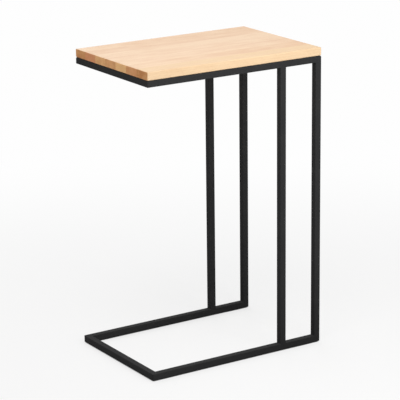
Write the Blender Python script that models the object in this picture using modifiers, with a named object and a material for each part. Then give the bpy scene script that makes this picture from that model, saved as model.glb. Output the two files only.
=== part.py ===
"""C-shaped side table: an edge-glued wood top on a welded frame of square steel tube.

Metres, +Z up. The origin is on the floor under the middle of the table. The open side of the C
faces -X, the uprights stand at +X, and -Y is the near long side.
"""

import math

import bmesh
import bpy
from mathutils import Matrix, Vector

# Overall sizes
TABLE_LENGTH = 0.450
TABLE_WIDTH = 0.305
TABLE_HEIGHT = 0.690

# Gap left between pieces that touch: a weld, a glue line or a seat
CLEARANCE = 0.0003

# Wood top, glued up from equal staves
TOP_THICKNESS = 0.018
TOP_EDGE_RADIUS = 0.001
STAVE_COUNT = 7

# Square tube of the frame
TUBE_SIZE = 0.015
TUBE_WALL = 0.0015
TUBE_CORNER_RADIUS = 0.002

# Clear space between the two uprights of one side
UPRIGHT_GAP = 0.080

# Flat tabs that hold the top, welded inside the top frame. Length runs along the rail, reach
# away from it. The slot is wider than the screw by the play, and longer than wide by the travel.
TAB_LENGTH = 0.026
TAB_REACH = 0.022
TAB_THICKNESS = 0.003
TAB_CORNER_RADIUS = 0.005
TAB_FROM_FRAME_END = 0.085
TAB_SLOT_PLAY = 0.0008
TAB_SLOT_TRAVEL = 0.004

# Pan-head wood screws. The point is the tapered end, and the cover is the wood left above it.
SCREW_DIAMETER = 0.004
SCREW_POINT = 0.004
SCREW_COVER = 0.006
SCREW_HEAD_DIAMETER = 0.0085
SCREW_HEAD_HEIGHT = 0.0026
SCREW_HEAD_RIM = 0.0010

# Thin floor glides under the base rails
GLIDE_LENGTH = 0.040
GLIDE_WIDTH = 0.011
GLIDE_THICKNESS = 0.0015
GLIDE_FROM_FRAME_END = 0.045

# Facets of a quarter round on an outline, of the top's rounded edges and of a turned piece
CORNER_STEPS = 4
EDGE_STEPS = 2
TURNED_SIDES = 16

# Heights that the pieces share
BASE_BOTTOM = GLIDE_THICKNESS + CLEARANCE
BASE_TOP = BASE_BOTTOM + TUBE_SIZE
WOOD_BOTTOM = TABLE_HEIGHT - TOP_THICKNESS
FRAME_TOP = WOOD_BOTTOM - CLEARANCE
FRAME_BOTTOM = FRAME_TOP - TUBE_SIZE
TAB_BOTTOM = FRAME_TOP - TAB_THICKNESS
SCREW_SEAT = TAB_BOTTOM - CLEARANCE
SCREW_TIP = TABLE_HEIGHT - SCREW_COVER

# Centre lines of the tubes
HALF_TUBE = TUBE_SIZE / 2
REAR_X = TABLE_LENGTH / 2 - HALF_TUBE
FRONT_X = -REAR_X
FAR_Y = TABLE_WIDTH / 2 - HALF_TUBE
NEAR_Y = -FAR_Y
MIDDLE_X = REAR_X - TUBE_SIZE - UPRIGHT_GAP
BASE_Z = BASE_BOTTOM + HALF_TUBE
FRAME_Z = FRAME_BOTTOM + HALF_TUBE

# A mitre plane is at 45 degrees, so each tube end steps back this far along the tube
MITRE_SETBACK = CLEARANCE / math.sqrt(2)

SHARP_ANGLE = math.radians(35)
ROUND_PROFILE = 0.5
MERGE_DISTANCE = 0.000001
CUT_PAST = 0.001

X_AXIS = Vector((1, 0, 0))
Y_AXIS = Vector((0, 1, 0))
Z_AXIS = Vector((0, 0, 1))


def clear_scene():
    for obj in list(bpy.data.objects):
        bpy.data.objects.remove(obj, do_unlink=True)


def new_collection(name):
    collection = bpy.data.collections.new(name)
    bpy.context.scene.collection.children.link(collection)
    return collection


def new_material(name, colour, roughness, metallic):
    material = bpy.data.materials.new(name)
    material.use_nodes = True
    shader = material.node_tree.nodes["Principled BSDF"]
    shader.inputs["Base Color"].default_value = (*colour, 1.0)
    shader.inputs["Roughness"].default_value = roughness
    shader.inputs["Metallic"].default_value = metallic
    return material


def add_part(name, mesh, material, matrix=None):
    """A named piece of the table, parented to the table's empty."""
    mesh.materials.append(material)
    mesh.shade_smooth()
    mesh.set_sharp_from_angle(angle=SHARP_ANGLE)
    part = bpy.data.objects.new(name, mesh)
    part.parent = table
    part.matrix_local = matrix or Matrix()
    parts.objects.link(part)
    return part


def arc(centre, radius, start_angle, sweep, steps):
    """Points along an arc, both ends included."""
    angles = [start_angle + sweep * step / steps for step in range(steps + 1)]
    return [
        (centre[0] + radius * math.cos(angle), centre[1] + radius * math.sin(angle))
        for angle in angles
    ]


def rounded_square(size, radius):
    inner = size / 2 - radius
    quarter = math.pi / 2
    points = []
    for turn, (x, y) in enumerate([(1, 1), (-1, 1), (-1, -1), (1, -1)]):
        points += arc((x * inner, y * inner), radius, turn * quarter, quarter, CORNER_STEPS)
    return points


def square(size):
    half = size / 2
    return [(half, half), (-half, half), (-half, -half), (half, -half)]


def stadium(length, width):
    """A slot with round ends, long along X."""
    radius = width / 2
    middle = (length - width) / 2
    right = arc((middle, 0), radius, -math.pi / 2, math.pi, 2 * CORNER_STEPS)
    left = arc((-middle, 0), radius, math.pi / 2, math.pi, 2 * CORNER_STEPS)
    return right + left


def extruded_outline(name, loops, height):
    """A mesh of the flat outline, with any inner loops as holes, centred on Z = 0."""
    curve = bpy.data.curves.new(name, "CURVE")
    curve.dimensions = "2D"
    curve.fill_mode = "BOTH"
    curve.extrude = height / 2
    for loop in loops:
        spline = curve.splines.new("POLY")
        spline.points.add(len(loop) - 1)
        for point, (x, y) in zip(spline.points, loop):
            point.co = (x, y, 0, 1)
        spline.use_cyclic_u = True
    guide = bpy.data.objects.new(name, curve)
    bpy.context.scene.collection.objects.link(guide)
    graph = bpy.context.evaluated_depsgraph_get()
    mesh = bpy.data.meshes.new_from_object(guide.evaluated_get(graph))
    bpy.data.objects.remove(guide)
    bpy.data.curves.remove(curve)
    shape = bmesh.new()
    shape.from_mesh(mesh)
    bmesh.ops.remove_doubles(shape, verts=shape.verts, dist=MERGE_DISTANCE)
    bmesh.ops.recalc_face_normals(shape, faces=shape.faces)
    shape.to_mesh(mesh)
    shape.free()
    return mesh


def square_tube(name, start, end, side, start_outer=None, end_outer=None):
    """A tube between two points on its centre line.

    side is a direction across the tube. An end with an outer direction is mitred at 45 degrees,
    longest on that side; an end without one is cut square.
    """
    axis = (end - start).normalized()
    turn = Matrix((side, axis.cross(side), axis)).transposed()
    loops = [rounded_square(TUBE_SIZE, TUBE_CORNER_RADIUS), square(TUBE_SIZE - 2 * TUBE_WALL)]
    length = (end - start).length
    mesh = extruded_outline(name, loops, length)
    for vertex in mesh.vertices:
        towards_end = vertex.co.z > 0
        outer = end_outer if towards_end else start_outer
        if outer is None:
            continue
        longer = vertex.co.dot(turn.transposed() @ outer) - MITRE_SETBACK
        vertex.co.z += longer if towards_end else -longer
    place = Matrix.Translation((start + end) / 2) @ turn.to_4x4()
    return add_part(name, mesh, powder_coat, place)


def make_top_frame():
    """Four rails, mitred into a rectangle."""
    for side, y, outer in (("near", NEAR_Y, -Y_AXIS), ("far", FAR_Y, Y_AXIS)):
        start = Vector((FRONT_X, y, FRAME_Z))
        end = Vector((REAR_X, y, FRAME_Z))
        square_tube(f"top_rail_{side}", start, end, Y_AXIS, outer, outer)
    for side, x, outer in (("front", FRONT_X, -X_AXIS), ("rear", REAR_X, X_AXIS)):
        start = Vector((x, NEAR_Y, FRAME_Z))
        end = Vector((x, FAR_Y, FRAME_Z))
        square_tube(f"top_rail_{side}", start, end, X_AXIS, outer, outer)


def make_base():
    """A U of three rails, open at the rear, mitred at the front and into the rear uprights."""
    for side, y, outer in (("near", NEAR_Y, -Y_AXIS), ("far", FAR_Y, Y_AXIS)):
        start = Vector((FRONT_X, y, BASE_Z))
        end = Vector((REAR_X, y, BASE_Z))
        square_tube(f"base_rail_{side}", start, end, Y_AXIS, outer, -Z_AXIS)
    start = Vector((FRONT_X, NEAR_Y, BASE_Z))
    end = Vector((FRONT_X, FAR_Y, BASE_Z))
    square_tube("base_rail_front", start, end, X_AXIS, -X_AXIS, -X_AXIS)


def make_uprights():
    """On each side a rear upright, mitred to the base, and a middle one between the rails."""
    top = FRAME_BOTTOM - CLEARANCE
    for side, y in (("near", NEAR_Y), ("far", FAR_Y)):
        start = Vector((REAR_X, y, BASE_Z))
        end = Vector((REAR_X, y, top))
        square_tube(f"upright_rear_{side}", start, end, X_AXIS, X_AXIS)
        start = Vector((MIDDLE_X, y, BASE_TOP + CLEARANCE))
        end = Vector((MIDDLE_X, y, top))
        square_tube(f"upright_middle_{side}", start, end, X_AXIS)


def tab_places():
    """For each tab: its name, the middle of its welded edge and its direction into the frame."""
    inner_x = REAR_X - HALF_TUBE - CLEARANCE
    inner_y = FAR_Y - HALF_TUBE - CLEARANCE
    rear_tab_x = TABLE_LENGTH / 2 - TAB_FROM_FRAME_END
    places = [
        ("front", Vector((-inner_x, 0, 0)), X_AXIS),
        ("rear", Vector((inner_x, 0, 0)), -X_AXIS),
    ]
    for side, y, inward in (("near", -inner_y, Y_AXIS), ("far", inner_y, -Y_AXIS)):
        places.append((f"{side}_front", Vector((-rear_tab_x, y, 0)), inward))
        places.append((f"{side}_rear", Vector((rear_tab_x, y, 0)), inward))
    return places


def tab_outline():
    """The welded edge lies on X = 0 and the rounded nose at X = TAB_REACH."""
    half = TAB_LENGTH / 2
    nose = TAB_REACH - TAB_CORNER_RADIUS
    quarter = math.pi / 2
    lower = arc((nose, TAB_CORNER_RADIUS - half), TAB_CORNER_RADIUS, -quarter, quarter, CORNER_STEPS)
    upper = arc((nose, half - TAB_CORNER_RADIUS), TAB_CORNER_RADIUS, 0, quarter, CORNER_STEPS)
    return [(0, -half)] + lower + upper + [(0, half)]


def make_tab(name, edge, inward):
    """A flat tab whose slot runs along Y, across the grain of the top."""
    slot_width = SCREW_DIAMETER + TAB_SLOT_PLAY
    slot = stadium(slot_width + TAB_SLOT_TRAVEL, slot_width)
    if inward.x:
        slot = [(-y, x) for x, y in slot]
    slot = [(x + TAB_REACH / 2, y) for x, y in slot]
    mesh = extruded_outline(name, [tab_outline(), slot], TAB_THICKNESS)
    turn = Matrix((inward, Z_AXIS.cross(inward), Z_AXIS)).transposed()
    middle = edge + Z_AXIS * (TAB_BOTTOM + TAB_THICKNESS / 2)
    add_part(f"fixing_tab_{name}", mesh, powder_coat, Matrix.Translation(middle) @ turn.to_4x4())


def screw_profile():
    """Radius and height from the tip down, with the seat of the head at height 0."""
    shank = SCREW_DIAMETER / 2
    head = SCREW_HEAD_DIAMETER / 2
    tip = SCREW_TIP - SCREW_SEAT
    dome = SCREW_HEAD_HEIGHT - SCREW_HEAD_RIM
    points = [(0, tip), (shank, tip - SCREW_POINT), (shank, 0), (head, 0)]
    for step in range(CORNER_STEPS):
        angle = math.pi / 2 * step / CORNER_STEPS
        points.append((head * math.cos(angle), -SCREW_HEAD_RIM - dome * math.sin(angle)))
    return points + [(0, -SCREW_HEAD_HEIGHT)]


def make_screw(name, centre):
    """A turned screw standing point up, with its head under the tab."""
    profile = screw_profile()
    mesh = bpy.data.meshes.new(f"top_screw_{name}")
    points = [(radius, 0, height) for radius, height in profile]
    edges = [(index, index + 1) for index in range(len(points) - 1)]
    mesh.from_pydata(points, edges, [])
    place = Matrix.Translation(centre + Z_AXIS * SCREW_SEAT)
    screw = add_part(f"top_screw_{name}", mesh, zinc_plate, place)
    turned = screw.modifiers.new("turned", "SCREW")
    turned.steps = TURNED_SIDES
    turned.render_steps = TURNED_SIDES
    turned.use_merge_vertices = True
    turned.merge_threshold = MERGE_DISTANCE
    turned.use_smooth_shade = True


def make_pilot_hole(name, centre):
    """The cutter for the hole that one screw fills in the underside of the top."""
    bottom = WOOD_BOTTOM - CUT_PAST
    top = SCREW_TIP + CLEARANCE
    radius = SCREW_DIAMETER / 2 + CLEARANCE
    shape = bmesh.new()
    bmesh.ops.create_cone(
        shape,
        cap_ends=True,
        segments=TURNED_SIDES,
        radius1=radius,
        radius2=radius,
        depth=top - bottom,
    )
    mesh = bpy.data.meshes.new(f"pilot_hole_{name}")
    shape.to_mesh(mesh)
    shape.free()
    cutter = bpy.data.objects.new(mesh.name, mesh)
    cutter.location = centre + Z_AXIS * (bottom + top) / 2
    cutter.hide_render = True
    cutter.display_type = "WIRE"
    cutters.objects.link(cutter)
    return cutter


def make_fixings():
    """Tabs, screws and pilot holes. Returns each hole's cutter."""
    holes = []
    for name, edge, inward in tab_places():
        centre = edge + inward * TAB_REACH / 2
        make_tab(name, edge, inward)
        make_screw(name, centre)
        holes.append(make_pilot_hole(name, centre))
    return holes


def make_stave(number, low_y, high_y, holes):
    """One lengthwise stave, rounded on the edges that show and square along its glue lines."""
    size = Vector((TABLE_LENGTH, high_y - low_y, TOP_THICKNESS))
    middle = Vector((0, (low_y + high_y) / 2, WOOD_BOTTOM + TOP_THICKNESS / 2))
    shape = bmesh.new()
    bmesh.ops.create_cube(shape, size=1)
    bmesh.ops.scale(shape, vec=size, verts=shape.verts)
    glued = [side for side, at_edge in ((-1, number == 1), (1, number == STAVE_COUNT)) if not at_edge]
    shown = []
    for edge in shape.edges:
        sides = {1 if vertex.co.y > 0 else -1 for vertex in edge.verts}
        if len(sides) == 2 or sides.isdisjoint(glued):
            shown.append(edge)
    bmesh.ops.bevel(
        shape,
        geom=shown,
        offset=TOP_EDGE_RADIUS,
        segments=EDGE_STEPS,
        profile=ROUND_PROFILE,
        affect="EDGES",
    )
    name = f"top_stave_{number}"
    mesh = bpy.data.meshes.new(name)
    shape.to_mesh(mesh)
    shape.free()
    stave = add_part(name, mesh, beech, Matrix.Translation(middle))
    reach = SCREW_DIAMETER / 2 + CLEARANCE
    for hole in holes:
        if low_y - reach < hole.location.y < high_y + reach:
            cut = stave.modifiers.new(hole.name, "BOOLEAN")
            cut.object = hole
            cut.operation = "DIFFERENCE"


def make_top(holes):
    """The panel: equal staves side by side, with a glue line between neighbours."""
    width = (TABLE_WIDTH - (STAVE_COUNT - 1) * CLEARANCE) / STAVE_COUNT
    for number in range(1, STAVE_COUNT + 1):
        low_y = -TABLE_WIDTH / 2 + (number - 1) * (width + CLEARANCE)
        make_stave(number, low_y, low_y + width, holes)


def make_glides():
    """A thin pad under each end of the two base rails."""
    x = TABLE_LENGTH / 2 - GLIDE_FROM_FRAME_END
    for end, end_x in (("front", -x), ("rear", x)):
        for side, y in (("near", NEAR_Y), ("far", FAR_Y)):
            name = f"floor_glide_{end}_{side}"
            mesh = extruded_outline(name, [stadium(GLIDE_LENGTH, GLIDE_WIDTH)], GLIDE_THICKNESS)
            add_part(name, mesh, black_nylon, Matrix.Translation((end_x, y, GLIDE_THICKNESS / 2)))


clear_scene()
parts = new_collection("side_table")
cutters = new_collection("side_table_cutters")
table = bpy.data.objects.new("side_table_frame", None)
parts.objects.link(table)

beech = new_material("oiled_beech", (0.80, 0.55, 0.35), 0.45, 0.0)
powder_coat = new_material("black_powder_coat", (0.014, 0.014, 0.015), 0.5, 0.0)
zinc_plate = new_material("zinc_plated_steel", (0.55, 0.55, 0.54), 0.35, 1.0)
black_nylon = new_material("black_nylon", (0.02, 0.02, 0.02), 0.6, 0.0)

make_top_frame()
make_base()
make_uprights()
make_top(make_fixings())
make_glides()
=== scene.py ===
"""The looks of the C-shaped side table: an oiled beech top on a welded frame of black square tube."""
import math

import bpy
from mathutils import Matrix, Vector


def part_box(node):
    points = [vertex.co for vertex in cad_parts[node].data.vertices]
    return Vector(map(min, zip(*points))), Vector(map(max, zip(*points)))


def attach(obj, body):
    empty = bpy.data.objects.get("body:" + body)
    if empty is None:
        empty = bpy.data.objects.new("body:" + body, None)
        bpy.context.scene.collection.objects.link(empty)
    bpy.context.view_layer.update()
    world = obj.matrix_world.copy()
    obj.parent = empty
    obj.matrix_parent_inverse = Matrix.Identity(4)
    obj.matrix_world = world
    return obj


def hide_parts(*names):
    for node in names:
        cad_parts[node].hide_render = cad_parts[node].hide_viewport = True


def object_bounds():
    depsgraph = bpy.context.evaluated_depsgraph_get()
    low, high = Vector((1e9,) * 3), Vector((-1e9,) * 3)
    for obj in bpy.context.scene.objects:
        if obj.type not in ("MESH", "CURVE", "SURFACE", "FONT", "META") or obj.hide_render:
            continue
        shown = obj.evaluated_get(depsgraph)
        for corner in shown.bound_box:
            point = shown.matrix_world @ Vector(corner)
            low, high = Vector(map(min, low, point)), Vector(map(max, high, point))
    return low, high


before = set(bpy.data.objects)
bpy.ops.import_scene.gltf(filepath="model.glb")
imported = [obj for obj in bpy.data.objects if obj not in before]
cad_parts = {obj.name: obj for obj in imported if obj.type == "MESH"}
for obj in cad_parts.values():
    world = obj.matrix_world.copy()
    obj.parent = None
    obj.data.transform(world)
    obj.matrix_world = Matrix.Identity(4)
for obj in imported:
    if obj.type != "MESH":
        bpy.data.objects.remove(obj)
CAD_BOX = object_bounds()
BODY = "root"
MM = 0.001

# Camera, as fitted to the photograph's edges
IMAGE_PIXELS = 400
FOCAL_PIXELS = 1929.97
SENSOR_WIDTH = 36.0
CAMERA_AZIMUTH = math.radians(-32.686)
CAMERA_ELEVATION = math.radians(16.018)
CAMERA_ROLL = math.radians(-0.644)
CAMERA_DISTANCE = 4.3604
CAMERA_TARGET = Vector((0, 0, 0.3405))
CAMERA_REACH = 100

# Modelling: an edge is sharp past this angle, a face looks along an axis when this much of its normal
# does, and two places are the same within this distance
SHARP_ANGLE = math.radians(40)
FACING_SHARE = 0.9
SAME_PLACE = 0.05 * MM

# Frame: square tube, welded and ground flush. With 1.2 mm on the tube's own edges the uprights look as
# wide as in the photograph, and the ground rim and base corners are rounder there
TUBE_EDGE_RADIUS = 1.2 * MM
GROUND_EDGE_RADIUS = 3.5 * MM
TUBE_EDGE_STEPS = 5

# Top: edge-glued staves with eased edges
STAVE_COUNT = 7
TOP_EDGE_RADIUS = 1.8 * MM
TOP_EDGE_STEPS = 5

# Fixing tabs. The slot's ends are rounded by this share of half its width, just short of the whole
TAB_NOSE_RADIUS = 5 * MM
TAB_NOSE_STEPS = 6
TAB_EDGE_RADIUS = 0.4 * MM
TAB_EDGE_STEPS = 2
TAB_SLOT_WIDTH = 4.8 * MM
TAB_SLOT_LENGTH = 8.8 * MM
SLOT_ROUND_SHARE = 0.998
SLOT_ROUND_STEPS = 6

# Weld beads under the tabs, with crests that stand out by this share of the radius
WELD_RADIUS = 1.8 * MM
WELD_SIDES = 16
WELD_RIPPLE = 0.15
WELD_RIPPLE_SPACING = 2.2 * MM

# Wood screws. The point narrows to the tip's share of the core
SCREW_DIAMETER = 4 * MM
SCREW_CORE_DIAMETER = 2.8 * MM
SCREW_SIDES = 32
SCREW_POINT = 4 * MM
SCREW_TIP_SHARE = 0.08
SCREW_HEAD_ROUND = 1.4 * MM
SCREW_HEAD_STEPS = 5

# Cross recess in the screw's head, narrower at its floor by the taper
RECESS_LENGTH = 4.6 * MM
RECESS_WIDTH = 1.0 * MM
RECESS_DEPTH = 1.4 * MM
RECESS_TAPER = 0.55

# Thread: its crest is a share of its foot's height, and what lies closer than the merges is one point
THREAD_PITCH = 1.8 * MM
THREAD_STEPS = 20
THREAD_CREST_SHARE = 0.1
THREAD_MERGE = 0.001 * MM
SCREW_MERGE = 0.005 * MM

# Floor glides, with ends rounded by this share of half their width
GLIDE_ROUND_SHARE = 0.98
GLIDE_ROUND_STEPS = 8
GLIDE_EDGE_RADIUS = 0.5 * MM
GLIDE_EDGE_STEPS = 3

# Floor: paper for its share and white glow for the rest, fading into the backdrop past the fade
FLOOR_SIZE = 60
FLOOR_WHITE, BACKDROP_WHITE = 1.0, 0.99
FLOOR_FADE_MIDDLE = Vector((-0.32, -0.5, 0))
FLOOR_FADE_START, FLOOR_FADE_END = 1.1, 2.3
PAPER_SHARE = 0.31
# Painted contact shade: the floor's glow is dark where this little of it is open within the reach, and clear
# where this much is
CONTACT_SHADE_REACH = 6 * MM
CONTACT_SHADE_SAMPLES = 16
CONTACT_SHADE_DARK, CONTACT_SHADE_CLEAR = 0.16, 0.42
# Little light bounces off the floor round the table's rear feet, because the photograph's base is
# nearly black
BOUNCE_MIDDLE = Vector((0.25, -0.05, 0))
BOUNCE_START, BOUNCE_END = 0.05, 0.9

# World light from the two sides
AMBIENT_LEFT, AMBIENT_RIGHT = 0.42, 0.66

# Softboxes, with distance and size in metres. A white surface that faces one is lit to its level, where
# 1 is white
SOFTBOXES = {
    "softbox_above": {"aim_at": CAMERA_TARGET, "towards": (-0.27, -0.33, 0.90),
                      "distance": 2.5, "size": 1.0, "level": 0.205},
    "softbox_behind": {"aim_at": CAMERA_TARGET, "towards": (0.20, 0.80, 0.56),
                       "distance": 3.5, "size": 2.5, "level": 0.21},
    "softbox_near": {"aim_at": Vector((-0.05, 0, 0.65)), "towards": (0.15, -0.90, 0.28),
                     "distance": 1.1, "size": 0.6, "level": 0.41},
}

# Oiled beech. For each stave: how far its face leans to rosy heartwood, how that drifts along it, how
# far it leans to honey sapwood, where its pith lies beside it in millimetres across and up, and how dark
# and how rosy its end grain is
STAVES = {
    1: {"rosy": 0.30, "drift": -0.25, "honey": 0.65, "pith": (38, -52), "end_dark": 0.70, "end_rosy": 0.00},
    2: {"rosy": 0.62, "drift": 0.32, "honey": 0.10, "pith": (-24, 61), "end_dark": 0.38, "end_rosy": 0.35},
    3: {"rosy": 0.36, "drift": 0.05, "honey": 0.00, "pith": (47, 40), "end_dark": 0.00, "end_rosy": 0.00},
    4: {"rosy": 0.20, "drift": -0.05, "honey": 0.00, "pith": (-55, -35), "end_dark": 0.38, "end_rosy": 0.20},
    5: {"rosy": 0.10, "drift": -0.20, "honey": 0.00, "pith": (30, -66), "end_dark": 0.22, "end_rosy": 0.10},
    6: {"rosy": 0.64, "drift": -0.05, "honey": 0.00, "pith": (-40, 48), "end_dark": 0.46, "end_rosy": 0.75},
    7: {"rosy": 0.46, "drift": 0.12, "honey": 0.00, "pith": (58, 30), "end_dark": 0.66, "end_rosy": 0.10},
}
FACE_PALE, FACE_ROSY, FACE_HONEY = "#FEE1C2", "#EFC8A6", "#F5D6A8"
FACE_RING, FACE_FIBRE, FACE_FLECK = "#E8C39C", "#D9AC82", "#BC8658"
END_PALE, END_DARK, END_ROSY, END_RAY = "#FFC888", "#C37A3D", "#E19062", "#F6CFA0"
# The pith isn't quite in line with the stave, by these angles, and each stave comes from its own place
# along the log
PITH_TILT, PITH_SLANT = 0.012, 0.018
LOG_STEP = 0.31

# Mix node sockets, which share their names
FACTOR, COLOUR_A, COLOUR_B, COLOUR = 0, 6, 7, 2
# A wave texture's rings repeat each time the scaled radius grows by this
WAVE_TURN = 2 * math.pi / 20


# Selecting and adding by hand

def only(piece):
    """Makes one object the selected and active one."""
    bpy.ops.object.select_all(action="DESELECT")
    piece.select_set(True)
    bpy.context.view_layer.objects.active = piece


def middle(box):
    """The point halfway between a box's two corners."""
    return (box[0] + box[1]) / 2


def close_to(a, b):
    """Whether two places along an axis are the same."""
    return abs(a - b) < SAME_PLACE


def settled(name):
    """The primitive just added, with its place put into its mesh."""
    bpy.ops.object.transform_apply(location=True, rotation=True, scale=True)
    piece = bpy.context.object
    piece.name = piece.data.name = name
    return piece


def add_block(name, low, high):
    """A cube at its size and place."""
    bpy.ops.object.select_all(action="DESELECT")
    bpy.ops.mesh.primitive_cube_add(size=1, location=(low + high) / 2, scale=high - low)
    return settled(name)


def add_bar(name, sides, radius, length, place, turn=(0, 0, 0)):
    """A round bar at its size and place."""
    bpy.ops.object.select_all(action="DESELECT")
    bpy.ops.mesh.primitive_cylinder_add(vertices=sides, radius=radius, depth=length, location=place,
                                        rotation=turn)
    return settled(name)


def clear_picks(piece, kind):
    """Leaves nothing selected in the piece's mesh, and sets the kind that edit mode selects."""
    only(piece)
    bpy.ops.object.mode_set(mode="EDIT")
    bpy.ops.mesh.select_mode(type=kind)
    bpy.ops.mesh.select_all(action="DESELECT")
    bpy.ops.object.mode_set(mode="OBJECT")


def pick_faces(piece, wanted):
    """Opens the piece in edit mode with the faces selected that wanted(centre, normal) names."""
    clear_picks(piece, "FACE")
    for face in piece.data.polygons:
        face.select = wanted(face.center, face.normal)
    bpy.ops.object.mode_set(mode="EDIT")


def pick_edges(piece, wanted):
    """Opens the piece in edit mode with the edges selected that wanted(first end, second end) names."""
    clear_picks(piece, "EDGE")
    corners = piece.data.vertices
    for edge in piece.data.edges:
        first, second = (corners[i].co for i in edge.vertices)
        edge.select = wanted(first, second)
    bpy.ops.object.mode_set(mode="EDIT")


def bevel_picked(radius, steps):
    """Rounds the selected edges, and leaves edit mode."""
    bpy.ops.mesh.bevel(offset=radius, segments=steps, affect="EDGES")
    bpy.ops.object.mode_set(mode="OBJECT")


def finish_with(piece, kind, **settings):
    """Adds a modifier with these settings to the piece, and applies it."""
    only(piece)
    modifier = piece.modifiers.new(kind.lower(), kind)
    for name, value in settings.items():
        setattr(modifier, name, value)
    bpy.ops.object.modifier_apply(modifier=modifier.name)


def combine(piece, tool, operation):
    """Cuts the tool's shape out of the piece or joins it on, and removes the tool."""
    finish_with(piece, "BOOLEAN", operation=operation, object=tool)
    bpy.data.objects.remove(tool)


def smooth(piece):
    """Smooth shading over the rounded edges, with the flat faces kept flat."""
    only(piece)
    bpy.ops.object.shade_smooth_by_angle(angle=SHARP_ANGLE)
    finish_with(piece, "WEIGHTED_NORMAL", keep_sharp=True)


def round_upright_edges(piece, radius, steps, beyond=-math.inf):
    """Rounds the upright edges of a block, or only those beyond a place along X."""
    pick_edges(piece, lambda a, b: close_to(a.x, b.x) and close_to(a.y, b.y) and a.x > beyond)
    bevel_picked(radius, steps)


def copied(piece, name, turn, place):
    """A copy with its own mesh, turned about Z and then moved."""
    copy = piece.copy()
    copy.data = piece.data.copy()
    copy.name = copy.data.name = name
    bpy.context.scene.collection.objects.link(copy)
    copy.matrix_world = Matrix.Translation(place) @ Matrix.Rotation(turn, 4, "Z")
    only(copy)
    bpy.ops.object.transform_apply(location=True, rotation=True, scale=True)
    return copy


def stands_for(piece, slot, material, *nodes):
    """Gives a finished piece its material and its body, and hides the CAD nodes that it replaces. The slot
    is not used.
    """
    piece.data.materials.clear()
    piece.data.materials.append(material)
    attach(piece, BODY)
    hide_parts(*nodes)


# Shader nodes

def linear(colour):
    """An sRGB hex colour as linear red, green, blue and alpha."""
    shares = [int(colour[i:i + 2], 16) / 255 for i in (1, 3, 5)]
    return [c / 12.92 if c <= 0.04045 else ((c + 0.055) / 1.055) ** 2.4 for c in shares] + [1]


def per_mm(size):
    """The scale of a noise whose grains are about this many millimetres wide."""
    return 1 / (size * MM)


def add_node(tree, kind, inputs=None, stops=(), **settings):
    """Adds a node. An input is a value or an output to link, and stops are a ramp's places and greys."""
    node = tree.nodes.new("ShaderNode" + kind)
    for name, value in settings.items():
        setattr(node, name, value)
    for name, value in (inputs or {}).items():
        if isinstance(value, bpy.types.NodeSocket):
            tree.links.new(value, node.inputs[name])
        else:
            node.inputs[name].default_value = value
    for element, (place, grey) in zip(node.color_ramp.elements if stops else (), stops):
        element.position = place
        element.color = (grey, grey, grey, 1)
    return node


def new_material(name):
    """An empty node material."""
    material = bpy.data.materials.new(name)
    material.use_nodes = True
    material.node_tree.nodes.clear()
    return material


# Oiled beech

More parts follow.
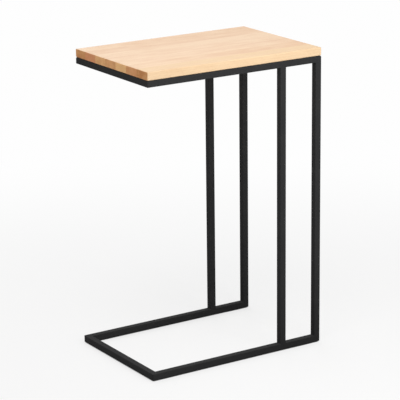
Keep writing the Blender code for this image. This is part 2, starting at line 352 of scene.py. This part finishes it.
def beech_grain(tree, place, number):
    """The patterns in one stave's wood, as output sockets."""
    across, up = STAVES[number]["pith"]
    centre = middle(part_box(f"top_stave_{number}"))
    pith = (0, centre.y + across * MM, centre.z + up * MM)
    from_pith = add_node(tree, "Mapping", {"Vector": place, "Location": [-c for c in pith],
                         "Rotation": (0, PITH_TILT, PITH_SLANT * (-1) ** number)}).outputs["Vector"]
    along = add_node(tree, "Mapping", {"Vector": from_pith, "Scale": (0.05, 1, 1),
                     "Location": (LOG_STEP * number, 0, 0)}).outputs["Vector"]

    # Year rings round the pith, 2 to 3 mm apart in beech and drawn at 3.5 mm so that they show
    rings = add_node(tree, "TexWave", {"Vector": along, "Scale": WAVE_TURN / (3.5 * MM), "Distortion": 1.6,
                     "Detail": 2.0, "Detail Scale": 0.25}, wave_type="RINGS", rings_direction="X",
                     wave_profile="SAW")

    # Slow changes of colour along the stave, in streaks about 14 mm wide
    streak_place = add_node(tree, "Mapping", {"Vector": along, "Scale": (1.2, 1, 1)})
    streaks = add_node(tree, "TexNoise", {"Vector": streak_place.outputs["Vector"], "Scale": per_mm(14),
                       "Detail": 3.0, "Roughness": 0.5})

    # Fibres, 0.1 mm wide and drawn at 0.9 mm so that they show
    fibre_place = add_node(tree, "Mapping", {"Vector": from_pith, "Scale": (0.02, 1, 1)})
    fibres = add_node(tree, "TexNoise", {"Vector": fibre_place.outputs["Vector"], "Scale": per_mm(0.9),
                      "Detail": 3.0, "Roughness": 0.6})

    # Ray flecks on the faces, 0.3 mm wide and 2.5 mm long, drawn at 0.6 and 5 mm so that they show
    fleck_place = add_node(tree, "Mapping", {"Vector": from_pith, "Scale": (0.12, 1, 1)})
    fleck_noise = add_node(tree, "TexNoise", {"Vector": fleck_place.outputs["Vector"], "Scale": per_mm(0.6),
                           "Detail": 1.0})
    flecks = add_node(tree, "ValToRGB", {"Fac": fleck_noise.outputs["Fac"]}, stops=((0.64, 0), (0.70, 1)))

    # The same rays in the end grain, as pale lines out from the pith, 0.3 mm wide and drawn at 0.8 mm
    beside_pith = add_node(tree, "SeparateXYZ", {"Vector": from_pith})
    bearing = add_node(tree, "Math", {0: beside_pith.outputs["Z"], 1: beside_pith.outputs["Y"]},
                       operation="ARCTAN2")
    arc = add_node(tree, "Math", {0: bearing.outputs["Value"], 1: math.hypot(across, up) * MM},
                   operation="MULTIPLY")
    ring_height = add_node(tree, "Math", {0: rings.outputs["Fac"], 1: 0.3 * MM}, operation="MULTIPLY")
    ray_place = add_node(tree, "CombineXYZ", {"X": arc.outputs["Value"], "Y": ring_height.outputs["Value"]})
    ray_noise = add_node(tree, "TexNoise", {"Vector": ray_place.outputs["Vector"], "Scale": per_mm(0.8),
                         "Detail": 1.0})
    rays = add_node(tree, "ValToRGB", {"Fac": ray_noise.outputs["Fac"]}, stops=((0.50, 0), (0.66, 1)))

    # Soft blotches of colour, about 60 mm long and 20 mm wide
    blotch_place = add_node(tree, "Mapping", {"Vector": from_pith, "Scale": (0.35, 1, 1)})
    blotches = add_node(tree, "TexNoise", {"Vector": blotch_place.outputs["Vector"], "Scale": per_mm(20),
                        "Detail": 1.0})
    return {"rings": rings.outputs["Fac"], "streaks": streaks.outputs["Fac"],
            "fibres": fibres.outputs["Fac"], "flecks": flecks.outputs["Color"],
            "rays": rays.outputs["Color"], "blotches": blotches.outputs["Fac"]}


def beech_face(tree, place, grain, number):
    """The colour of a stave's faces: pale, leaning to rosy in streaks and blotches, with rings, fibres
    and flecks over it."""
    stave = STAVES[number]
    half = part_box(f"top_stave_{number}")[1].x
    spot = add_node(tree, "SeparateXYZ", {"Vector": place})
    drift = add_node(tree, "MapRange", {"Value": spot.outputs["X"], "From Min": -half, "From Max": half,
                     "To Min": stave["rosy"] - stave["drift"], "To Max": stave["rosy"] + stave["drift"]})
    wander = add_node(tree, "MapRange", {"Value": grain["streaks"], "From Min": 0.3, "From Max": 0.7,
                      "To Min": -0.24, "To Max": 0.24}, clamp=False)
    mottle = add_node(tree, "MapRange", {"Value": grain["blotches"], "From Min": 0.3, "From Max": 0.7,
                      "To Min": -0.28, "To Max": 0.28}, clamp=False)
    unevenness = add_node(tree, "Math", {0: wander.outputs["Result"], 1: mottle.outputs["Result"]},
                          operation="ADD")
    lean = add_node(tree, "Math", {0: drift.outputs["Result"], 1: unevenness.outputs["Value"]},
                    operation="ADD", use_clamp=True)
    pale = add_node(tree, "Mix", {FACTOR: lean.outputs["Value"], COLOUR_A: linear(FACE_PALE),
                    COLOUR_B: linear(FACE_ROSY)}, data_type="RGBA")
    ground = add_node(tree, "Mix", {FACTOR: stave["honey"], COLOUR_A: pale.outputs[COLOUR],
                      COLOUR_B: linear(FACE_HONEY)}, data_type="RGBA")
    ring_share = add_node(tree, "Math", {0: grain["rings"], 1: 0.30}, operation="MULTIPLY")
    ringed = add_node(tree, "Mix", {FACTOR: ring_share.outputs["Value"], COLOUR_A: ground.outputs[COLOUR],
                      COLOUR_B: linear(FACE_RING)}, data_type="RGBA")
    fibre_share = add_node(tree, "MapRange", {"Value": grain["fibres"], "From Min": 0.4, "From Max": 0.75,
                           "To Max": 0.22})
    fibred = add_node(tree, "Mix", {FACTOR: fibre_share.outputs["Result"], COLOUR_A: ringed.outputs[COLOUR],
                      COLOUR_B: linear(FACE_FIBRE)}, data_type="RGBA")
    fleck_share = add_node(tree, "Math", {0: grain["flecks"], 1: 0.30}, operation="MULTIPLY")
    flecked = add_node(tree, "Mix", {FACTOR: fleck_share.outputs["Value"], COLOUR_A: fibred.outputs[COLOUR],
                       COLOUR_B: linear(FACE_FLECK)}, data_type="RGBA")
    return flecked.outputs[COLOUR]


def beech_end(tree, grain, number):
    """The colour of a stave's end grain: dark and light with the rings, and crossed by pale rays."""
    stave = STAVES[number]
    ringed = add_node(tree, "MapRange", {"Value": grain["rings"], "To Min": stave["end_dark"] - 0.2,
                      "To Max": stave["end_dark"] + 0.27})
    mottle = add_node(tree, "MapRange", {"Value": grain["streaks"], "From Min": 0.3, "From Max": 0.7,
                      "To Min": -0.2, "To Max": 0.2}, clamp=False)
    lean = add_node(tree, "Math", {0: ringed.outputs["Result"], 1: mottle.outputs["Result"]},
                    operation="ADD", use_clamp=True)
    tone = add_node(tree, "Mix", {FACTOR: lean.outputs["Value"], COLOUR_A: linear(END_PALE),
                    COLOUR_B: linear(END_DARK)}, data_type="RGBA")
    hue = add_node(tree, "Mix", {FACTOR: stave["end_rosy"], COLOUR_A: tone.outputs[COLOUR],
                   COLOUR_B: linear(END_ROSY)}, data_type="RGBA")
    ray_share = add_node(tree, "Math", {0: grain["rays"], 1: 0.17}, operation="MULTIPLY")
    rayed = add_node(tree, "Mix", {FACTOR: ray_share.outputs["Value"], COLOUR_A: hue.outputs[COLOUR],
                     COLOUR_B: linear(END_RAY)}, data_type="RGBA")
    return rayed.outputs[COLOUR]


def oiled_beech(number):
    """Beech, planed, sanded and oiled: a pale pinkish ground with faint year rings and short ray flecks,
    a low sheen along the fibres, and much darker, browner end grain where the oil soaks in."""
    material = new_material(f"oiled_beech_{number}")
    tree = material.node_tree
    coordinates = add_node(tree, "TexCoord")
    place = coordinates.outputs["Object"]
    grain = beech_grain(tree, place, number)
    # End grain shows on the faces that look along the stave
    facing = add_node(tree, "SeparateXYZ", {"Vector": coordinates.outputs["Normal"]})
    along_stave = add_node(tree, "Math", {0: facing.outputs["X"]}, operation="ABSOLUTE")
    end_share = add_node(tree, "MapRange", {"Value": along_stave.outputs["Value"], "From Min": 0.45,
                         "From Max": 0.85})
    colour = add_node(tree, "Mix", {FACTOR: end_share.outputs["Result"],
                      COLOUR_A: beech_face(tree, place, grain, number),
                      COLOUR_B: beech_end(tree, grain, number)}, data_type="RGBA")
    roughness = add_node(tree, "MapRange", {"Value": grain["fibres"], "To Min": 0.50, "To Max": 0.68})
    relief = add_node(tree, "Bump", {"Height": grain["fibres"], "Strength": 0.15, "Distance": 0.05 * MM})
    shader = add_node(tree, "BsdfPrincipled", {"Base Color": colour.outputs[COLOUR],
                      "Roughness": roughness.outputs["Result"], "Specular IOR Level": 0.25,
                      "Normal": relief.outputs["Normal"]})
    add_node(tree, "OutputMaterial", {"Surface": shader.outputs["BSDF"]})
    return material


# Coat, plate and plastic

def black_powder_coat():
    """Matt black powder coat, sprayed and baked on steel: an even charcoal black with the fine orange-peel
    grain of melted powder, and a broad dull sheen."""
    material = new_material("black_powder_coat")
    tree = material.node_tree
    place = add_node(tree, "TexCoord").outputs["Object"]
    # Orange peel, about 0.6 mm and drawn at 1.2 mm so that it shows, over faint clouds of about 35 mm
    peel = add_node(tree, "TexNoise", {"Vector": place, "Scale": per_mm(1.2), "Detail": 2.0})
    cloud = add_node(tree, "TexNoise", {"Vector": place, "Scale": per_mm(35), "Detail": 3.0})
    colour = add_node(tree, "Mix", {FACTOR: cloud.outputs["Fac"], COLOUR_A: linear("#313132"),
                      COLOUR_B: linear("#3A3A3A")}, data_type="RGBA")
    roughness = add_node(tree, "MapRange", {"Value": peel.outputs["Fac"], "To Min": 0.68, "To Max": 0.84})
    relief = add_node(tree, "Bump", {"Height": peel.outputs["Fac"], "Strength": 0.45, "Distance": 0.3 * MM})
    shader = add_node(tree, "BsdfPrincipled", {"Base Color": colour.outputs[COLOUR],
                      "Roughness": roughness.outputs["Result"], "Specular IOR Level": 0.03,
                      "Normal": relief.outputs["Normal"]})
    add_node(tree, "OutputMaterial", {"Surface": shader.outputs["BSDF"]})
    return material


def zinc_plated_steel():
    """Bright zinc plate on a steel screw: pale grey metal with faint clouding and a soft gloss."""
    material = new_material("zinc_plated_steel")
    tree = material.node_tree
    place = add_node(tree, "TexCoord").outputs["Object"]
    # Clouding of the plate, in spots of about 1.5 mm
    cloud = add_node(tree, "TexNoise", {"Vector": place, "Scale": per_mm(1.5), "Detail": 3.0})
    colour = add_node(tree, "Mix", {FACTOR: cloud.outputs["Fac"], COLOUR_A: linear("#A9ABA9"),
                      COLOUR_B: linear("#C9CAC6")}, data_type="RGBA")
    roughness = add_node(tree, "MapRange", {"Value": cloud.outputs["Fac"], "To Min": 0.25, "To Max": 0.42})
    relief = add_node(tree, "Bump", {"Height": cloud.outputs["Fac"], "Strength": 0.1,
                      "Distance": 0.02 * MM})
    shader = add_node(tree, "BsdfPrincipled", {"Base Color": colour.outputs[COLOUR], "Metallic": 1.0,
                      "Roughness": roughness.outputs["Result"], "Normal": relief.outputs["Normal"]})
    add_node(tree, "OutputMaterial", {"Surface": shader.outputs["BSDF"]})
    return material


def moulded_nylon():
    """Black nylon, injection moulded in a spark-eroded tool: a fine even pebble and a waxy low sheen."""
    material = new_material("moulded_nylon")
    tree = material.node_tree
    place = add_node(tree, "TexCoord").outputs["Object"]
    # Pebble of the tool, about 0.1 mm and drawn at 0.8 mm so that it shows
    pebble = add_node(tree, "TexNoise", {"Vector": place, "Scale": per_mm(0.8), "Detail": 1.0})
    colour = add_node(tree, "Mix", {FACTOR: pebble.outputs["Fac"], COLOUR_A: linear("#161617"),
                      COLOUR_B: linear("#222223")}, data_type="RGBA")
    roughness = add_node(tree, "MapRange", {"Value": pebble.outputs["Fac"], "To Min": 0.42, "To Max": 0.58})
    relief = add_node(tree, "Bump", {"Height": pebble.outputs["Fac"], "Strength": 0.3,
                      "Distance": 0.05 * MM})
    shader = add_node(tree, "BsdfPrincipled", {"Base Color": colour.outputs[COLOUR], "IOR": 1.53,
                      "Roughness": roughness.outputs["Result"], "Normal": relief.outputs["Normal"]})
    add_node(tree, "OutputMaterial", {"Surface": shader.outputs["BSDF"]})
    return material


# Pieces

def glue_up_top():
    """Seven staves side by side. Only the edges on the outside of the panel are eased."""
    boxes = [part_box(f"top_stave_{number}") for number in range(1, STAVE_COUNT + 1)]
    low, high = boxes[0][0].copy(), boxes[-1][1].copy()
    low.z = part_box("top_rail_near")[1].z
    joints = [low.y]
    joints += [(near[1].y + far[0].y) / 2 for near, far in zip(boxes, boxes[1:])]
    joints += [high.y]

    def outside(first, second):
        """An edge is eased where two of the panel's outer faces meet in it."""
        faces = 0
        for axis in range(3):
            if close_to(first[axis], second[axis]):
                faces += close_to(first[axis], low[axis]) or close_to(first[axis], high[axis])
        return faces == 2

    for number in range(1, STAVE_COUNT + 1):
        near, far = joints[number - 1], joints[number]
        piece = add_block(f"beech_stave_{number}", Vector((low.x, near, low.z)),
                          Vector((high.x, far, high.z)))
        pick_edges(piece, outside)
        bevel_picked(TOP_EDGE_RADIUS, TOP_EDGE_STEPS)
        smooth(piece)
        stands_for(piece, "beech_top", oiled_beech(number), f"top_stave_{number}")


def weld_frame(material):
    """One seamless skin over the eleven tubes: a block at each joint, with the facing sides bridged."""
    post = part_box("upright_middle_near")
    tube = post[1].x - post[0].x
    crossings = ("base_rail_front", "upright_middle_near", "upright_rear_near")
    front, mid, rear = (middle(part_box(name)).x for name in crossings)
    near, far = (middle(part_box(name)).y for name in ("base_rail_near", "base_rail_far"))
    base, top = (middle(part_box(name)).z for name in ("base_rail_front", "top_rail_front"))

    blocks = [Vector((x, y, z)) for z in (base, top) for y in (near, far) for x in (front, mid, rear)]
    half = Vector((tube, tube, tube)) / 2
    piece = add_block("welded_frame", blocks[0] - half, blocks[0] + half)
    bpy.ops.object.mode_set(mode="EDIT")
    for block in blocks[1:]:
        bpy.ops.mesh.primitive_cube_add(size=tube, location=block)
    bpy.ops.object.mode_set(mode="OBJECT")

    runs = [((a, y, z), (b, y, z)) for z in (base, top) for y in (near, far)
            for a, b in ((front, mid), (mid, rear))]
    runs += [((x, y, base), (x, y, top)) for y in (near, far) for x in (mid, rear)]
    runs += [((x, near, z), (x, far, z)) for x, z in ((front, base), (front, top), (rear, top))]
    for start, end in runs:
        start, end = Vector(start), Vector(end)
        step = (end - start).normalized() * tube / 2
        ends = (start + step, end - step)
        pick_faces(piece, lambda centre, normal: any((centre - tip).length < SAME_PLACE for tip in ends))
        bpy.ops.mesh.bridge_edge_loops()
        bpy.ops.object.mode_set(mode="OBJECT")

    bpy.ops.object.mode_set(mode="EDIT")
    bpy.ops.mesh.select_all(action="SELECT")
    bpy.ops.mesh.normals_make_consistent(inside=False)
    bpy.ops.mesh.select_mode(type="EDGE")
    bpy.ops.mesh.select_all(action="DESELECT")
    bpy.ops.mesh.edges_select_sharp(sharpness=SHARP_ANGLE)
    bpy.ops.object.mode_set(mode="OBJECT")
    round_frame(piece)
    smooth(piece)
    tubes = [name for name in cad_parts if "rail" in name or "upright" in name]
    stands_for(piece, "frame", material, *tubes)


def round_frame(piece):
    """Rounds the selected edges like the tube's own, and more where the grinder went over the welds: at the
    front corners of the base and along the upper rim of the top frame, where it leaves a dark groove under
    the wood."""
    low, high = CAD_BOX
    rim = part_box("top_rail_near")[1].z
    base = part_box("base_rail_near")[1].z

    def outer_sides(first, second):
        """Which of the frame's outer sides an edge lies in."""
        return [axis for axis in (0, 1) for side in (low, high)
                if close_to(first[axis], side[axis]) and close_to(second[axis], side[axis])]

    weights = piece.data.attributes.new("bevel_weight_edge", "FLOAT", "EDGE").data
    corners = piece.data.vertices
    for edge in piece.data.edges:
        first, second = (corners[i].co for i in edge.vertices)
        sides = outer_sides(first, second)
        on_rim = sides and close_to(first.z, rim) and close_to(second.z, rim)
        at_front = len(sides) == 2 and close_to(first.x, low.x)
        if on_rim or (at_front and max(first.z, second.z) < base + SAME_PLACE):
            weights[edge.index].value = 1
        elif edge.select:
            weights[edge.index].value = TUBE_EDGE_RADIUS / GROUND_EDGE_RADIUS
    finish_with(piece, "BEVEL", limit_method="WEIGHT", width=GROUND_EDGE_RADIUS, segments=TUBE_EDGE_STEPS)


def shape_tab(name, slot_length, slot_width):
    """A tab whose welded edge lies on X = 0, with its nose along +X and its slot cut through."""
    low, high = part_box("fixing_tab_front")
    reach, half = high.x - low.x, (high.y - low.y) / 2
    piece = add_block(name, Vector((0, -half, low.z)), Vector((reach, half, high.z)))
    round_upright_edges(piece, TAB_NOSE_RADIUS, TAB_NOSE_STEPS, beyond=reach / 2)
    # The slot's cutter stands well past the tab above and below
    reach_out = Vector((slot_length, slot_width, 4 * (high.z - low.z))) / 2
    centre = Vector((reach / 2, 0, (low.z + high.z) / 2))
    slot = add_block("slot", centre - reach_out, centre + reach_out)
    round_upright_edges(slot, SLOT_ROUND_SHARE * min(slot_length, slot_width) / 2, SLOT_ROUND_STEPS)
    combine(piece, slot, "DIFFERENCE")
    finish_with(piece, "BEVEL", limit_method="ANGLE", angle_limit=SHARP_ANGLE, width=TAB_EDGE_RADIUS,
                segments=TAB_EDGE_STEPS)
    smooth(piece)
    return piece


def lay_weld(name):
    """A rippled bead in the corner under a tab, along its welded edge on X = 0."""
    low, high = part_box("fixing_tab_front")
    length = high.y - low.y - 2 * WELD_RADIUS
    corner = Vector((0, 0, low.z))
    piece = add_bar(name, WELD_SIDES, WELD_RADIUS, length, corner, turn=(math.pi / 2, 0, 0))
    ripples = round(length / WELD_RIPPLE_SPACING)
    pick_edges(piece, lambda a, b: not close_to(a.y, b.y))
    bpy.ops.mesh.subdivide(number_cuts=2 * ripples - 1)
    bpy.ops.object.mode_set(mode="OBJECT")
    # Every second ring of edges is a crest
    step = length / (2 * ripples)
    pick_edges(piece, lambda a, b: close_to(a.y, b.y) and round((a.y + length / 2) / step) % 2 == 1)
    crest = 1 + WELD_RIPPLE
    bpy.ops.transform.resize(value=(crest, 1, crest), center_override=corner)
    bpy.ops.object.mode_set(mode="OBJECT")
    smooth(piece)
    return piece


def fix_tabs(material):
    """Six tabs inside the top frame. Each slot runs across the grain, along Y."""
    inner_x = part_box("top_rail_front")[1].x
    inner_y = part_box("top_rail_near")[1].y
    end_tab = shape_tab("end_tab", TAB_SLOT_WIDTH, TAB_SLOT_LENGTH)
    side_tab = shape_tab("side_tab", TAB_SLOT_LENGTH, TAB_SLOT_WIDTH)
    bead = lay_weld("bead")
    places = [("front", end_tab, 0, (inner_x, 0)), ("rear", end_tab, math.pi, (-inner_x, 0))]
    for side, turn, y in (("near", math.pi / 2, inner_y), ("far", -math.pi / 2, -inner_y)):
        for end in ("front", "rear"):
            x = middle(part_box(f"fixing_tab_{side}_{end}")).x
            places.append((f"{side}_{end}", side_tab, turn, (x, y)))
    for name, tab, turn, (x, y) in places:
        piece = copied(tab, f"tab_{name}", turn, Vector((x, y, 0)))
        stands_for(piece, "frame", material, f"fixing_tab_{name}")
        weld = copied(bead, f"tab_weld_{name}", turn, Vector((x, y, 0)))
        stands_for(weld, "frame", material)
    for pattern in (end_tab, side_tab, bead):
        bpy.data.objects.remove(pattern)


def turn_screw():
    """A pan-head wood screw on the Z axis at its true height, head down: head, cross recess and core."""
    low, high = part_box("top_screw_front")
    head = (high.x - low.x) / 2
    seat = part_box("fixing_tab_front")[0].z
    core = SCREW_CORE_DIAMETER / 2
    piece = add_bar("screw", SCREW_SIDES, head, seat - low.z, (0, 0, (low.z + seat) / 2))
    pick_edges(piece, lambda a, b: close_to(a.z, low.z) and close_to(b.z, low.z))
    bevel_picked(SCREW_HEAD_ROUND, SCREW_HEAD_STEPS)

    # Core and point, drawn up out of the seat by inset, because extrude orders its faces anew on each run
    pick_faces(piece, lambda centre, normal: normal.z > FACING_SHARE and close_to(centre.z, seat))
    bpy.ops.mesh.inset(thickness=head - core)
    bpy.ops.mesh.inset(thickness=0, depth=high.z - seat - SCREW_POINT)
    bpy.ops.mesh.inset(thickness=0, depth=SCREW_POINT)
    bpy.ops.transform.resize(value=(SCREW_TIP_SHARE, SCREW_TIP_SHARE, 1), center_override=(0, 0, high.z))
    bpy.ops.object.mode_set(mode="OBJECT")

    mouth = Vector((0, 0, low.z))
    for length, width in ((RECESS_LENGTH, RECESS_WIDTH), (RECESS_WIDTH, RECESS_LENGTH)):
        half = Vector((length / 2, width / 2, RECESS_DEPTH))
        recess = add_block("recess", mouth - half, mouth + half)
        pick_faces(recess, lambda centre, normal: normal.z > FACING_SHARE)
        bpy.ops.transform.resize(value=(RECESS_TAPER, RECESS_TAPER, 1),
                                 center_override=(0, 0, low.z + RECESS_DEPTH))
        bpy.ops.object.mode_set(mode="OBJECT")
        combine(piece, recess, "DIFFERENCE")
    return piece


def wind_thread():
    """A sharp ridge wound round the screw's core, closed at both ends."""
    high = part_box("top_screw_front")[1]
    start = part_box("fixing_tab_front")[1].z
    core, outer = SCREW_CORE_DIAMETER / 2, SCREW_DIAMETER / 2
    half = THREAD_PITCH / 4
    turns = int((high.z - SCREW_POINT - start) / THREAD_PITCH)
    ridge = add_block("thread", Vector((core - half, -half, start)),
                      Vector((outer, half, start + 2 * half)))

    # One face of the block is the ridge's section
    pick_faces(ridge, lambda centre, normal: normal.y < FACING_SHARE)
    bpy.ops.mesh.delete(type="FACE")
    bpy.ops.object.mode_set(mode="OBJECT")
    pick_edges(ridge, lambda a, b: close_to(a.x, outer) and close_to(b.x, outer))
    bpy.ops.transform.resize(value=(1, 1, THREAD_CREST_SHARE), center_override=(outer, 0, start + half))
    bpy.ops.mesh.select_all(action="SELECT")
    bpy.ops.transform.translate(value=(0, -half, 0))
    bpy.ops.object.mode_set(mode="OBJECT")
    finish_with(ridge, "SCREW", angle=2 * math.pi, screw_offset=THREAD_PITCH, iterations=turns,
                steps=THREAD_STEPS, render_steps=THREAD_STEPS)
    bpy.ops.object.mode_set(mode="EDIT")
    bpy.ops.mesh.select_all(action="SELECT")
    bpy.ops.mesh.remove_doubles(threshold=THREAD_MERGE)
    bpy.ops.mesh.fill_holes(sides=4)
    bpy.ops.mesh.select_all(action="SELECT")
    bpy.ops.mesh.normals_make_consistent(inside=False)
    bpy.ops.object.mode_set(mode="OBJECT")
    return ridge


def drive_screws(material):
    """Six threaded screws up through the tabs into the top."""
    screw = turn_screw()
    combine(screw, wind_thread(), "UNION")
    bpy.ops.object.mode_set(mode="EDIT")
    bpy.ops.mesh.select_all(action="SELECT")
    bpy.ops.mesh.remove_doubles(threshold=SCREW_MERGE)
    bpy.ops.mesh.dissolve_degenerate(threshold=SCREW_MERGE)
    bpy.ops.mesh.quads_convert_to_tris(quad_method="BEAUTY", ngon_method="BEAUTY")
    bpy.ops.object.mode_set(mode="OBJECT")
    smooth(screw)
    for name in [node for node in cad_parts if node.startswith("top_screw_")]:
        place = middle(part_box(name))
        piece = copied(screw, name.replace("top_", ""), 0, Vector((place.x, place.y, 0)))
        stands_for(piece, "screws", material, name)
    bpy.data.objects.remove(screw)


def stick_glides(material):
    """Four moulded pads under the base, round at both ends and eased where they slide."""
    low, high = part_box("floor_glide_front_near")
    half = Vector((high.x - low.x, high.y - low.y, 0)) / 2
    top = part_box("base_rail_near")[0].z
    pad = add_block("pad", Vector((-half.x, -half.y, low.z)), Vector((half.x, half.y, top)))
    round_upright_edges(pad, GLIDE_ROUND_SHARE * half.y, GLIDE_ROUND_STEPS)
    pick_faces(pad, lambda centre, normal: normal.z < -FACING_SHARE)
    bevel_picked(GLIDE_EDGE_RADIUS, GLIDE_EDGE_STEPS)
    smooth(pad)
    for name in [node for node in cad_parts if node.startswith("floor_glide_")]:
        place = middle(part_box(name))
        piece = copied(pad, name.replace("floor_", ""), 0, Vector((place.x, place.y, 0)))
        stands_for(piece, "glides", material, name)
    bpy.data.objects.remove(pad)


# Studio

def build_camera():
    """The camera where the photograph was taken from."""
    data = bpy.data.cameras.new("photo_camera")
    data.sensor_width = SENSOR_WIDTH
    data.lens = SENSOR_WIDTH * FOCAL_PIXELS / IMAGE_PIXELS
    data.clip_end = CAMERA_REACH
    camera = bpy.data.objects.new("photo_camera", data)
    bpy.context.scene.collection.objects.link(camera)
    tilt = math.pi / 2 - CAMERA_ELEVATION
    turn = Matrix.Rotation(CAMERA_AZIMUTH, 3, "Z") @ Matrix.Rotation(tilt, 3, "X")
    turn = turn @ Matrix.Rotation(CAMERA_ROLL, 3, "Z")
    place = CAMERA_TARGET + turn.col[2] * CAMERA_DISTANCE
    camera.matrix_world = Matrix.Translation(place) @ turn.to_4x4()
    bpy.context.scene.camera = camera


def add_softbox(name, aim_at, towards, distance, size, level):
    """A square lamp that the camera doesn't see. It stands off the place that it is aimed at, in one
    direction and by one distance."""
    data = bpy.data.lights.new(name, "AREA")
    data.shape = "SQUARE"
    data.size = size
    data.energy = level * math.pi ** 2 * distance ** 2
    lamp = bpy.data.objects.new(name, data)
    bpy.context.scene.collection.objects.link(lamp)
    aim = Vector(towards).normalized()
    lamp.location = aim_at + aim * distance
    lamp.rotation_euler = aim.to_track_quat("Z", "Y").to_euler()
    lamp.visible_camera = False


def seen_rays(tree):
    """One for the rays that show the surroundings, straight, mirrored or through glass, and else nought."""
    path = add_node(tree, "LightPath")
    seen = path.outputs["Is Camera Ray"]
    for kind in ("Is Glossy Ray", "Is Transmission Ray"):
        wider = add_node(tree, "Math", {0: seen, 1: path.outputs[kind]}, operation="MAXIMUM")
        seen = wider.outputs["Value"]
    return seen


def seamless_paper():
    """Pale seamless paper, smooth and matt: nearly white where it is seen, with the table's soft shadow
    and a thin line of painted contact shade."""
    material = new_material("seamless_paper")
    tree = material.node_tree
    place = add_node(tree, "TexCoord").outputs["Object"]
    seen = seen_rays(tree)
    # Paper that takes the shadow, darker for the rays that bounce off it round the rear feet
    around = add_node(tree, "VectorMath", {0: place, 1: BOUNCE_MIDDLE}, operation="DISTANCE")
    bounce = add_node(tree, "MapRange", {"Value": around.outputs["Value"], "From Min": BOUNCE_START,
                      "From Max": BOUNCE_END}, interpolation_type="SMOOTHSTEP")
    lit = add_node(tree, "Mix", {FACTOR: bounce.outputs["Result"], COLOUR_A: linear("#101010"),
                   COLOUR_B: linear("#E6E6E5")}, data_type="RGBA")
    tone = add_node(tree, "Mix", {FACTOR: seen, COLOUR_A: lit.outputs[COLOUR],
                    COLOUR_B: linear("#F4F4F4")}, data_type="RGBA")
    paper = add_node(tree, "BsdfDiffuse", {"Color": tone.outputs[COLOUR]})
    # White glow where it is seen, darkened next to the table as painted contact shade, and all of it far
    # away
    reach = add_node(tree, "VectorMath", {0: place, 1: FLOOR_FADE_MIDDLE}, operation="DISTANCE")
    fade = add_node(tree, "MapRange", {"Value": reach.outputs["Value"], "From Min": FLOOR_FADE_START,
                    "From Max": FLOOR_FADE_END}, interpolation_type="SMOOTHSTEP").outputs["Result"]
    glow = add_node(tree, "MapRange", {"Value": fade, "To Min": FLOOR_WHITE, "To Max": BACKDROP_WHITE})
    # Painted contact shade: ambient occlusion darkens the white glow close to the table's rails
    contact = add_node(tree, "AmbientOcclusion", {"Distance": CONTACT_SHADE_REACH}, samples=CONTACT_SHADE_SAMPLES)
    open_share = add_node(tree, "MapRange", {"Value": contact.outputs["AO"], "From Min": CONTACT_SHADE_DARK,
                          "From Max": CONTACT_SHADE_CLEAR})
    shaded = add_node(tree, "Math", {0: glow.outputs["Result"], 1: open_share.outputs["Result"]},
                      operation="MULTIPLY")
    white = add_node(tree, "Emission", {"Strength": shaded.outputs["Value"]})
    kept = add_node(tree, "MapRange", {"Value": fade, "To Min": 1 - PAPER_SHARE, "To Max": 1.0})
    share = add_node(tree, "Math", {0: seen, 1: kept.outputs["Result"]}, operation="MULTIPLY")
    surface = add_node(tree, "MixShader", {0: share.outputs["Value"], 1: paper.outputs["BSDF"],
                       2: white.outputs["Emission"]})
    add_node(tree, "OutputMaterial", {"Surface": surface.outputs["Shader"]})
    return material


def studio_floor():
    """A wide plane of paper under the table."""
    bpy.ops.object.select_all(action="DESELECT")
    bpy.ops.mesh.primitive_plane_add(size=FLOOR_SIZE)
    floor = bpy.context.object
    floor.name = floor.data.name = "studio_floor"
    floor.data.materials.append(seamless_paper())


def studio_world():
    """Soft light all round, dimmer on the left, and white where the camera looks past the floor."""
    world = bpy.data.worlds.new("studio")
    bpy.context.scene.world = world
    world.use_nodes = True
    tree = world.node_tree
    tree.nodes.clear()
    direction = add_node(tree, "SeparateXYZ", {"Vector": add_node(tree, "TexCoord").outputs["Generated"]})
    ambient = add_node(tree, "MapRange", {"Value": direction.outputs["X"], "From Min": -1, "From Max": 1,
                       "To Min": AMBIENT_LEFT, "To Max": AMBIENT_RIGHT})
    strength = add_node(tree, "MapRange", {"Value": seen_rays(tree), "To Min": ambient.outputs["Result"],
                        "To Max": BACKDROP_WHITE})
    light = add_node(tree, "Background", {"Color": (1, 1, 1, 1), "Strength": strength.outputs["Result"]})
    add_node(tree, "OutputWorld", {"Surface": light.outputs["Background"]})


def build_studio():
    """World light, floor and softboxes, shown with the plain view transform."""
    bpy.context.scene.view_settings.view_transform = "Standard"
    studio_world()
    studio_floor()
    for name, setting in SOFTBOXES.items():
        add_softbox(name, **setting)


build_camera()
build_studio()
coat = black_powder_coat()
glue_up_top()
weld_frame(coat)
fix_tabs(coat)
drive_screws(zinc_plated_steel())
stick_glides(moulded_nylon())
